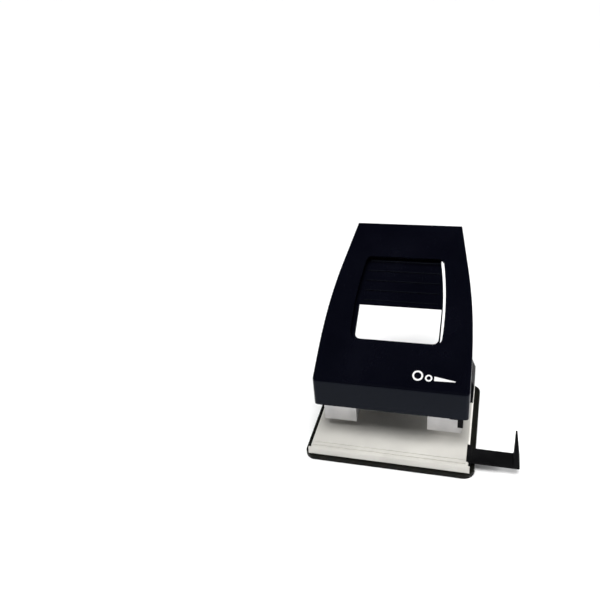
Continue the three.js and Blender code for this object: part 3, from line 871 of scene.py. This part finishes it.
@dataclass
class Base(SubAssembly):
    """The pressed plate, the punch heads with their dies and springs, and the rear housing."""

    plate_x: float = 59.5
    plate_y: Span = (-50.5, 49)
    plate_z: Span = (4.9, 10.6)
    corner: float = 4
    sheet: float = 1.4
    lip_x: float = 60.6
    toe: float = -51.7
    creases: tuple[Triple, ...] = ((1.7, 3.0, 0.6), (4.6, 6.6, 0.5))
    bush_x: float = 57.7
    bush_y: Span = (-45.6, -26.9)
    knuckle_x: float = 19.7
    hole: float = 3.15
    rivet: Point = (6, 28)
    housing_screw: Point = (15, 34)
    coil_radius: float = 4.4
    coils: int = 7
    coil_steps: int = 28
    wire: float = 0.48
    wire_sides: int = 10

    def build(self) -> None:
        """Makes every piece of the base, one side after the other."""
        self.fit(self.plate(), PLATE_PAINT, "base_plate")
        self.fit(rod("axle", "pivot_axle"), BRIGHT_STEEL, "pivot_axle")
        self.fit(remade("rear_housing", "housing", 1.1, 4), BLACK_PLASTIC, "rear_housing")
        self.fit(remade("guide_bush", "bush", 0.35), BLACK_PLASTIC, "guide_bush")
        self.fit(remade("guide_rail", "rail", 0.3), HEAD_STEEL, "guide_rail")
        self.fit(remade("guide_leaf", "leaf", 0.1, 2), SPRING_STEEL, "guide_leaf")
        for name, side in SIDES:
            x = side * HOLES_APART / 2
            self.fit(remade(f"punch_head_{name}", f"head_{name}", 0.7, 4), HEAD_STEEL,
                     f"punch_head_{name}")
            self.fit(self.die(name, x), BRIGHT_STEEL, f"die_{name}")
            self.fit(self.spring(name, x), SPRING_STEEL, f"return_spring_{name}")
            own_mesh(bpy.data.objects[f"spring_{name}"], f"pin_{name}_slide", axis=(0, 0, 1),
                      anchor=(x * MM, PIN_Y * MM, Extent.of(f"return_spring_{name}").z[0] * MM),
                      keep=1 - 11.9 / 20)
            self.fit(remade(f"axle_clip_{name}", f"clip_{name}", 0.15, 2), SPRING_STEEL,
                     f"axle_clip_{name}")
            for edge in ("inner", "outer"):
                self.fit(self.rivet_head(name, edge), BRIGHT_STEEL, f"head_rivet_{name}_{edge}")
            node = f"housing_screw_{name}"
            self.fit(slotted_screw(f"cover_screw_{name}", Extent.of(node)), BRIGHT_STEEL, node)

    def plate(self) -> Piece:
        """Makes the plate with its rolled lip, creases, holes, notch and hinge knuckle.

        Returns:
            The plate.
        """
        y0, y1 = self.plate_y
        bottom, top = self.plate_z
        outline = rounded_rectangle(both(self.plate_x), self.plate_y, self.corner, 10)
        plate = prism("plate", outline, Along.Z, self.plate_z)
        bevel_rim(plate, UP, 1.7, 6)
        hollow(plate, DOWN, self.sheet)
        for _, side in SIDES:
            x = side * HOLES_APART / 2
            spots = [(x, PIN_Y, self.hole), (x - self.rivet[0], self.rivet[1], 1.8),
                     (x + self.rivet[0], self.rivet[1], 1.8),
                     (side * self.housing_screw[0], self.housing_screw[1], 1.5)]
            for across, deep, radius in spots:
                drill(plate, (across, deep), radius, (8, 12))
        combine(plate, block("bush_notch", (self.bush_x, self.lip_x + 1), self.bush_y, (0, top + 1)),
                Joining.CUT)
        for near, far, deep in self.creases:
            groove = [(y0 + near, top + 0.02), (y0 + far, top - deep), (y0 + far + 0.15, top + 0.1),
                      (y0 + near, top + 0.1)]
            combine(plate, prism("crease", groove, Along.X, both(self.plate_x - 2)), Joining.CUT)
        bead = tidy([(self.toe + 0.15, bottom + 0.02), (y0 + self.sheet - 0.05, bottom + 0.02),
                     (y0 + self.sheet - 0.05, top - 1.6)]
                    + arc((y0 + 0.35, top - 1.5), 1.15, 20, 190, 12) + [(self.toe, bottom + 0.5)])
        combine(plate, prism("lip", bead, Along.X, both(self.lip_x)), Joining.WELD)
        hook = ([(y1 - 1, HINGE[1] + BARREL), (y1 - 1, HINGE[1] + 0.9)]
                + arc(HINGE, BARREL, 148, 450, 24))
        combine(plate, prism("hook", hook, Along.X, both(self.knuckle_x)), Joining.WELD)
        drill(plate, HINGE, HINGE_BORE, both(self.knuckle_x + 5.3), Along.X, 32)
        return polish(tidy_faces(plate), 30)

    def die(self, name: str, x: float) -> Piece:
        """Makes the ring that a pin shears the paper against.

        Args:
            name: The side that it stands on.
            x: Where it stands along X.

        Returns:
            The ring.
        """
        box = Extent.of(f"die_{name}")
        bottom, top = box.z
        outer = box.x[1] - x
        profile = [(self.hole, bottom + 0.3), (self.hole + 0.3, bottom), (outer - 0.4, bottom),
                   (outer, bottom + 0.4), (outer, top - 0.2), (outer - 0.2, top), (self.hole, top)]
        return polish(turned(f"die_ring_{name}", profile, (x, PIN_Y, 0), closed=True))

    def spring(self, name: str, x: float) -> Piece:
        """Makes a coil spring with closed end turns, by a screw from one round section.

        Args:
            name: The side that it stands on.
            x: Where it stands along X.

        Returns:
            The spring.
        """
        bottom, top = Extent.of(f"return_spring_{name}").z
        radius, wire, turns, sides = self.coil_radius, self.wire, self.coils, self.wire_sides
        clear_selection()
        bpy.ops.mesh.primitive_circle_add(vertices=sides, fill_type="NOTHING")
        piece = bpy.context.object
        piece.name = f"spring_{name}"
        for index, vertex in enumerate(piece.data.vertices):
            angle = math.tau * index / sides
            vertex.co = Vector((radius + wire * math.cos(angle), 0, wire * math.sin(angle))) * MM
        modifier = piece.modifiers.new("coil", "SCREW")
        modifier.angle = math.tau
        modifier.iterations = turns
        modifier.steps = self.coil_steps
        modifier.render_steps = self.coil_steps
        modifier.screw_offset = 2 * wire * MM
        modifier.use_merge_vertices = False
        apply(piece, modifier)
        spare = top - bottom - 2 * wire * (turns + 1)
        for vertex in piece.data.vertices:
            angle = math.atan2(vertex.co.y, vertex.co.x) % math.tau / math.tau
            turn = round(vertex.co.z / (2 * wire * MM) - angle) + angle
            share = min(max((turn - 1) / (turns - 2), 0), 1)
            vertex.co.z += (bottom + wire + spare * share) * MM
        bpy.ops.object.mode_set(mode="EDIT")
        bpy.ops.mesh.select_all(action="SELECT")
        bpy.ops.mesh.region_to_loop()
        bpy.ops.mesh.edge_face_add()
        bpy.ops.mesh.select_all(action="SELECT")
        bpy.ops.mesh.normals_make_consistent(inside=False)
        bpy.ops.object.mode_set(mode="OBJECT")
        piece.location = Vector((x, PIN_Y, 0)) * MM
        return polish(settle(piece), 60)

    def rivet_head(self, name: str, edge: str) -> Piece:
        """Makes a domed rivet.

        Args:
            name: The side that it is on.
            edge: Which rivet of that side it is.

        Returns:
            The rivet.
        """
        box = Extent.of(f"head_rivet_{name}_{edge}")
        bottom, top = box.z
        tall, shank, flare = 1.4, 1.5, 2.4
        dome = [(box.radius * math.cos(t), top - tall + tall * math.sin(t))
                for t in (math.radians(a) for a in range(0, 90, 10))]
        profile = [(0, bottom), (flare - 0.3, bottom), (flare, bottom + 0.3), (flare, bottom + 1.2),
                   (shank, bottom + 1.2), (shank, top - tall)] + dome + [(0, top)]
        return polish(turned(f"rivet_{name}_{edge}", profile, (*box.middle[:2], 0)))


def slotted_screw(name: str, box: Extent) -> Piece:
    """Returns an upright pan-head screw with a slot, threads on its shank and a rounded rim.

    Args:
        name: The name of the new piece.
        box: The box that it fills, with the head at its top.

    Returns:
        The screw.
    """
    radius, long = box.radius, box.z[1] - box.z[0]
    seat, brim = long - SCREW_HEAD, long - SCREW_SLOT
    threads: list[Point] = []
    start = 0.8
    while start < seat - 0.8:
        threads += [(SCREW_SHANK, start), (SCREW_SHANK - 0.22, start + 0.3)]
        start += 0.6
    profile = ([(0, 0), (0.7, 0)] + threads
               + [(SCREW_SHANK, seat), (radius, seat), (radius, brim), (radius - 0.15, long - 0.4),
                  (radius - 0.6, long - 0.08), (radius - 1.2, long), (0, long)])
    screw = turned(name, profile, steps=28)
    slot = block("slot", both(radius + 1), both(0.35), (brim, long + 1))
    combine(screw, slot, Joining.CUT)
    screw.location = Vector((*box.middle[:2], box.z[0])) * MM
    return polish(settle(screw))


@dataclass
class PaperGuide(SubAssembly):
    """The sliding arm with its upright stop."""

    body: str = "guide"
    inner: float = 91
    bottom: float = 7.1
    top: float = 8.9
    fillet: float = 0.8
    tip_thick: float = 1.2
    tip_depth: float = 1.6

    def build(self) -> None:
        """Makes the arm and its stop as one moulded piece."""
        box = Extent.of("paper_guide")
        x0, x1 = box.x
        tip = box.z[1]
        corner = arc((self.inner - self.fillet, self.top + self.fillet), self.fillet, 270, 360, 8)
        side_on = [(x0, self.bottom), (x1 - 0.6, self.bottom), (x1, self.bottom + 0.8),
                   (self.inner + self.tip_thick, tip), (self.inner, tip)]
        guide = prism("guide", side_on + list(reversed(corner)) + [(x0, self.top)], Along.Y, box.y)
        front, back = box.y
        back_on = [(front, self.bottom - 1), (back, self.bottom - 1), (back, self.top),
                   (back - 0.5, tip), (back - 0.5 - self.tip_depth, tip), (front, self.top)]
        combine(guide, prism("sail", back_on, Along.X, (x0 - 1, x1 + 1)), Joining.KEEP)
        self.fit(polish(round_edges(guide, 0.3, 3)), BLACK_PLASTIC, "paper_guide")


@dataclass
class PunchPin(SubAssembly):
    """A punch pin with its spring cup."""

    name: str = "left"
    side: int = -1
    crown: float = 2
    notch: float = 1.6
    cup_hole: float = 3.3
    cup_radius: float = 5.8
    cup_bevel: float = 0.3

    def __post_init__(self) -> None:
        """Names the body after the side."""
        self.body = f"pin_{self.name}"

    def build(self) -> None:
        """Makes the hardened pin and the cup that its spring pushes on."""
        self.fit(self.pin(), BRIGHT_STEEL, f"punch_pin_{self.name}")
        self.fit(self.cup(), HEAD_STEEL, f"spring_cup_{self.name}")

    @property
    def x(self) -> float:
        """Where the pin stands along X."""
        return self.side * HOLES_APART / 2

    def pin(self) -> Piece:
        """Makes the pin, with a crowned head and a notch across its cutting end.

        Returns:
            The pin.
        """
        box = Extent.of(f"punch_pin_{self.name}")
        bottom, top = box.z
        head, neck = box.radius, top - self.crown
        profile = [(0, bottom), (PIN_RADIUS, bottom), (PIN_RADIUS, neck), (head, neck),
                   (head, top - 1), (head - 0.35, top - 0.4), (head - 1.4, top), (0, top)]
        pin = turned(f"pin_{self.name}_steel", profile, (self.x, PIN_Y, 0), steps=48)
        notch = [(self.x - 4, bottom - 1), (self.x + 4, bottom - 1), (self.x, bottom + self.notch)]
        across = (PIN_Y - 5, PIN_Y + 5)
        return polish(combine(pin, prism("notch", notch, Along.Y, across), Joining.CUT))

    def cup(self) -> Piece:
        """Makes the cup under the pin's head.

        Returns:
            The cup.
        """
        low, high = Extent.of(f"spring_cup_{self.name}").z
        inner, outer, bevel = self.cup_hole, self.cup_radius, self.cup_bevel
        ring = [(inner, low), (outer - bevel, low), (outer, low + bevel), (outer, high - bevel),
                (outer - bevel, high), (inner, high)]
        return polish(turned(f"cup_{self.name}", ring, (self.x, PIN_Y, 0), closed=True))


@dataclass
class Handle(SubAssembly):
    """The hooded handle, its ribbed panel, its steel lever and the screws that hold them."""

    body: str = "handle"
    front_top: float = 63.5
    back: float = 84.6
    heel_bottom: float = 127
    half_front: float = 58
    half_back: float = 42
    corner: float = 3.5
    rear_corner: float = 1.2
    wall: float = 2.2
    skin: float = 2.5
    rim: float = 1.9
    window: Span = (36.4, 109)
    window_x: Triple = (34.2, 36.4, 31)
    window_corner: float = 5
    panel_top: float = -6.3
    panel_thick: float = 2
    panel_x: float = 33
    panel_back_x: float = 28.3
    panel_s: Triple = (34, 112, 121)
    flange_x: float = 37
    opening_x: float = 31.9
    opening_s: Span = (39.2, 68.9)
    rib_first: float = 73.2
    rib_pitch: float = 8.8
    rib_x: tuple[float, ...] = (29, 29, 29, 29, 27.6)
    frame_screw: Point = (14, 21)
    panel_screw: Point = (20, 115.5)
    screw_tip: float = -1.2
    screw_bore: float = 1.6
    mark_rings: tuple[tuple[float, ...], ...] = ((20, 11.2, 2.6, 3.9), (28, 10, 1.5, 2.6))
    mark_bar: tuple[Point, ...] = ((32, 8.2), (47, 8.6), (47, 9.3), (32, 11.6))
    mark_depth: Span = (-0.1, 0.06)
    box: Extent = field(default_factory=lambda: Extent.of("handle_shell"))

    @property
    def slope(self) -> float:
        """The angle of the top face."""
        return math.atan2(self.box.z[1] - self.front_top, self.back - self.box.y[0])

    def onto_slope(self, piece: Piece) -> Piece:
        """Tips a piece made on X, along and off the top face into its place.

        Args:
            piece: The piece.

        Returns:
            The piece.
        """
        place = Matrix.Translation(Vector((0, self.box.y[0], self.front_top)) * MM)
        piece.matrix_world = place @ Matrix.Rotation(self.slope, 4, "X")
        return settle(piece)

    def build(self) -> None:
        """Makes every piece that moves with the handle."""
        self.fit(self.shell(), HANDLE_GLOSS, "handle_shell")
        self.fit(self.panel(), HANDLE_GLOSS, "grip_panel")
        self.fit(remade("lever_frame", "lever", 0.4), HEAD_STEEL, "lever_frame")
        self.fit(rod("bar", "press_bar", 0.7), BRIGHT_STEEL, "press_bar")
        for name, side in SIDES:
            for kind, place, seat in (("frame", self.frame_screw, -5.1),
                                      ("panel", self.panel_screw, -8.6)):
                node = f"{kind}_screw_{name}"
                self.fit(self.under_screw(node, side, place, seat), BRIGHT_STEEL, node)
        self.fit(self.mark(), WHITE_PRINT)

    def plan(self, inset: float = 0) -> list[Point]:
        """Returns the handle's outline from above, or one inside it.

        Args:
            inset: How far inside the handle's outline it runs.

        Returns:
            The outline's points.
        """
        front, heel = self.box.y[0] + inset, self.box.y[1] - inset
        wide, narrow = self.half_front - inset, self.half_back - inset
        corner, rear = self.corner, self.rear_corner
        right = (curve([(wide - corner, front), (wide, front), (wide, front + corner)], 10)
                 + curve([(wide, front + corner), (wide - 0.6, front + 62),
                          (narrow + 10.6, heel - 47), (narrow, heel - rear)], 40)
                 + curve([(narrow, heel - rear), (narrow, heel), (narrow - rear, heel)], 6))
        return right + [(-x, y) for x, y in reversed(right)]

    def cavity(self) -> Piece:
        """Makes the space inside the shell, below its skin.

        Returns:
            The space, as a solid to cut away.
        """
        front, heel = self.box.y
        lean = self.slope
        under = [(front - 10, 0), (heel + 10, 0)]
        for along in (160, -15):
            under.append((front + along * math.cos(lean) + self.skin * math.sin(lean),
                          self.front_top + along * math.sin(lean) - self.skin * math.cos(lean)))
        space = prism("cavity", self.plan(self.wall), Along.Z, (5, self.box.z[1] + 5))
        return combine(space, prism("under", under, Along.X, both(self.half_front + 1)),
                       Joining.KEEP)

    def side_view(self) -> list[Point]:
        """Draws the handle from the side.

        Returns:
            The outline's points.
        """
        front, heel = self.box.y
        low = self.box.z[0]
        return ([(front, low), (6, low + 2.5)]
                + curve([(6, low + 2.5), (14, 45), (30, 62)], 10)
                + curve([(30, 62), (62, 100), (heel, self.heel_bottom)], 16)
                + [(self.back, self.box.z[1]), (front, self.front_top)])

    def window_outline(self) -> list[Point]:
        """Draws the window on the top face.

        Returns:
            The outline's points.
        """
        low, high = self.window
        near, bulge, far = self.window_x
        corner = self.window_corner
        right = (curve([(near - corner, low), (near, low), (near + 0.6, low + corner)], 8)
                 + curve([(near + 0.6, low + corner), (bulge, (low + high) / 2),
                          (far, high - corner)], 24)
                 + curve([(far, high - corner), (far - 0.6, high), (far - corner, high)], 8))
        return right + [(-x, y) for x, y in reversed(right)]

    def shell(self) -> Piece:
        """Makes the hooded shell, with its round rim and its window.

        Returns:
            The shell.
        """
        low, high = self.box.z
        tilt = Vector((0, -math.sin(self.slope), math.cos(self.slope)))
        shell = prism("shell", self.plan(), Along.Z, (low - 1, high + 1))
        profile = prism("side_view", self.side_view(), Along.X, both(self.half_front + 1))
        combine(shell, profile, Joining.KEEP)
        tidy_faces(shell, 0.2)
        bevel_rim(shell, tilt, self.rim, 6)
        combine(shell, self.cavity(), Joining.CUT)
        window = prism("window", self.window_outline(), Along.Z, (-9, 3))
        combine(shell, self.onto_slope(window), Joining.CUT)
        for _, side in SIDES:
            at = (side * self.panel_screw[0], self.panel_screw[1], 0)
            for radius, low, high, how in ((3.2, -6, -1, Joining.WELD),
                                           (self.screw_bore, -7, -1.4, Joining.CUT)):
                post = turned("post", [(0, low), (radius, low), (radius, high), (0, high)], at)
                combine(shell, self.onto_slope(post), how)
        return polish(round_edges(shell, 0.45, 3, 55), 35)

    def panel(self) -> Piece:
        """Makes the panel under the window, with its rails, its opening and its round ribs.

        Returns:
            The panel.
        """
        top, wide, narrow, rail = self.panel_top, self.flange_x, self.panel_back_x, self.panel_x
        front, flange, rear = self.panel_s
        plan = tidy([(-wide, front), (rail, front)]
                    + curve([(rail, front + 23.9), (rail, flange - 28.1), (narrow, flange - 4)], 16)
                    + [(narrow, flange), (wide, flange), (wide, rear), (-wide, rear)])
        panel = prism("panel", plan, Along.Z, (top - self.panel_thick, top))
        half, (near, far), round_by = self.opening_x, self.opening_s, 5
        opening = (curve([(-half, near + round_by), (-half, near), (round_by - half, near)], 8)
                   + curve([(half - round_by, near), (half, near), (half, near + round_by)], 8)
                   + [(half, far), (-half, far)])
        combine(panel, prism("opening", opening, Along.Z, (top - 4, top + 2)), Joining.CUT)
        for index, reach in enumerate(self.rib_x):
            along = self.rib_first + self.rib_pitch * index
            ridge = tidy([(along - 1.2, top - 0.5), (along + 1.2, top - 0.5)]
                         + arc((along, top + 0.2), 1.2, 0, 180, 10))
            combine(panel, prism("ridge", ridge, Along.X, both(reach)), Joining.WELD)
        across, along = self.panel_screw
        for _, side in SIDES:
            drill(panel, (side * across, along), self.screw_bore, (top - 4, top + 2))
        return polish(self.onto_slope(round_edges(panel, 0.3, 3)))

    def under_screw(self, node: str, side: int, place: Point, seat: float) -> Piece:
        """Returns a screw driven up into the handle from below, square to the top face.

        Args:
            node: The CAD node that it stands for.
            side: Minus one on the left and one on the right.
            place: How far it sits from the middle, and how far along the top face.
            seat: How far off the top face its head bears.

        Returns:
            The screw.
        """
        foot = seat - SCREW_HEAD
        box = Extent(both(2.8), both(2.8), (foot - self.screw_tip, 0))
        screw = slotted_screw(node.replace("_screw_", "_fixing_"), box)
        screw.matrix_world = (Matrix.Translation(Vector((side * place[0], place[1], foot)) * MM)
                              @ Matrix.Rotation(math.pi, 4, "X"))
        return self.onto_slope(settle(screw))

    def mark(self) -> Piece:
        """Makes a plain printed mark: two rings and a bar that thins to the right.

        Returns:
            The mark.
        """
        low, high = self.mark_depth
        large, small = (turned("mark", [(inner, low), (outer, low), (outer, high), (inner, high)],
                               (x, along, 0), closed=True)
                        for x, along, inner, outer in self.mark_rings)
        combine(large, small, Joining.WELD)
        combine(large, prism("bar", self.mark_bar, Along.Z, self.mark_depth), Joining.WELD)
        return polish(self.onto_slope(large))


@dataclass
class LockCatch(SubAssembly):
    """The catch that holds the handle down."""

    body: str = "catch"

    def build(self) -> None:
        """Makes the catch, with its finger tab rounded."""
        self.fit(remade("lock_catch", "catch_tab", 0.45, 4), BLACK_PLASTIC, "lock_catch")


# ---------------------------------------------------------------- studio
@dataclass
class Studio:
    """The pale floor, the soft lights and the camera."""

    eye: Triple = (66.1, -417.9, 376.8)
    right: Triple = (0.961, 0.2627, -0.087)
    up: Triple = (-0.0647, 0.519, 0.8523)
    lens: float = 40.45

    def build(self) -> None:
        """Sets up everything around the punch."""
        self.floor()
        self.camera()
        self.lights()

    def camera(self) -> None:
        """Places the camera."""
        data = bpy.data.cameras.new("camera")
        data.lens = self.lens
        data.sensor_width = 36
        data.clip_end = 50
        right, up = Vector(self.right).normalized(), Vector(self.up).normalized()
        back = right.cross(up).normalized()
        up = back.cross(right)
        camera = bpy.data.objects.new("camera", data)
        bpy.context.scene.collection.objects.link(camera)
        turn = Matrix((right, up, back)).transposed().to_4x4()
        camera.matrix_world = Matrix.Translation(Vector(self.eye) * MM) @ turn
        bpy.context.scene.camera = camera

    def floor(self) -> None:
        """Lays the pale floor."""
        clear_selection()
        bpy.ops.mesh.primitive_plane_add(size=30, location=(0, 0, 0))
        floor = bpy.context.object
        floor.name = "floor"
        pale = Finish("floor_pale", (0.93, 0.93, 0.93), (0.91, 0.91, 0.91), (0.85, 0.95),
                      specular=0.1, patch=3, grain=40, relief=0.0)
        floor.data.materials.append(pale.material())

    def lights(self) -> None:
        """Hangs a wide soft light overhead, a weak fill in front and a panel at the right."""
        self.sun("key_sun", (-0.05, -0.24, 1.0), 3.5, 38, glossy=False)
        self.sun("fill_sun", (0.20, -0.84, 0.50), 0.12, 50)
        self.panel("right_panel", (560, 110, 165), (57, -30, 65), (160, 220), 4.0)
        self.backdrop(0.05, 0.95)
        bpy.context.scene.view_settings.view_transform = "Standard"

    def backdrop(self, light: float, seen: float) -> None:
        """Puts a pale backdrop behind everything.

        Args:
            light: How strongly it lights the punch.
            seen: How bright it looks to the camera.
        """
        world = bpy.data.worlds.new("studio")
        world.use_nodes = True
        tree = world.node_tree
        sky = tree.nodes["Background"]
        sky.inputs["Color"].default_value = (0.97, 0.985, 1.0, 1)
        ray = tree.nodes.new("ShaderNodeLightPath")
        strength = tree.nodes.new("ShaderNodeMapRange")
        strength.inputs["To Min"].default_value = light
        strength.inputs["To Max"].default_value = seen
        tree.links.new(ray.outputs["Is Camera Ray"], strength.inputs["Value"])
        tree.links.new(strength.outputs["Result"], sky.inputs["Strength"])
        bpy.context.scene.world = world

    def sun(self, name: str, towards: Triple, strength: float, softness: float,
            glossy: bool = True) -> None:
        """Hangs a distant light.

        Args:
            name: Its name.
            towards: The direction from the punch to the light.
            strength: Its strength.
            softness: How wide it looks, in degrees.
            glossy: Whether shiny surfaces mirror it.
        """
        data = bpy.data.lights.new(name, "SUN")
        data.energy = strength
        data.angle = math.radians(softness)
        self.hang(data, (0, 0, 0), towards, glossy)

    def panel(self, name: str, at: Triple, aim: Triple, size: Point, power: float) -> None:
        """Hangs a rectangular light that shiny surfaces don't mirror.

        Args:
            name: Its name.
            at: Where it hangs.
            aim: The point that it faces.
            size: Its width and height.
            power: Its power, in watts.
        """
        data = bpy.data.lights.new(name, "AREA")
        data.shape = "RECTANGLE"
        data.size, data.size_y = size[0] * MM, size[1] * MM
        data.energy = power
        self.hang(data, at, tuple(Vector(at) - Vector(aim)), glossy=False)

    @staticmethod
    def hang(data: bpy.types.Light, at: Triple, towards: Triple, glossy: bool) -> None:
        """Puts a light in its place.

        Args:
            data: The light.
            at: Where it hangs.
            towards: The direction from what it lights to the light.
            glossy: Whether shiny surfaces mirror it.
        """
        light = bpy.data.objects.new(data.name, data)
        bpy.context.scene.collection.objects.link(light)
        light.location = Vector(at) * MM
        light.rotation_euler = Vector(towards).to_track_quat("Z", "Y").to_euler()
        light.visible_glossy = glossy


def main() -> None:
    """Builds the punch body by body, then the studio around it."""
    logging.basicConfig(level=logging.INFO, format="%(message)s")
    bodies = [ChipTray(), Base(), PaperGuide(), PunchPin(name="left", side=-1),
              PunchPin(name="right", side=1), Handle(), LockCatch(), Studio()]
    for body in bodies:
        body.build()


if __name__ == "__main__":
    main()
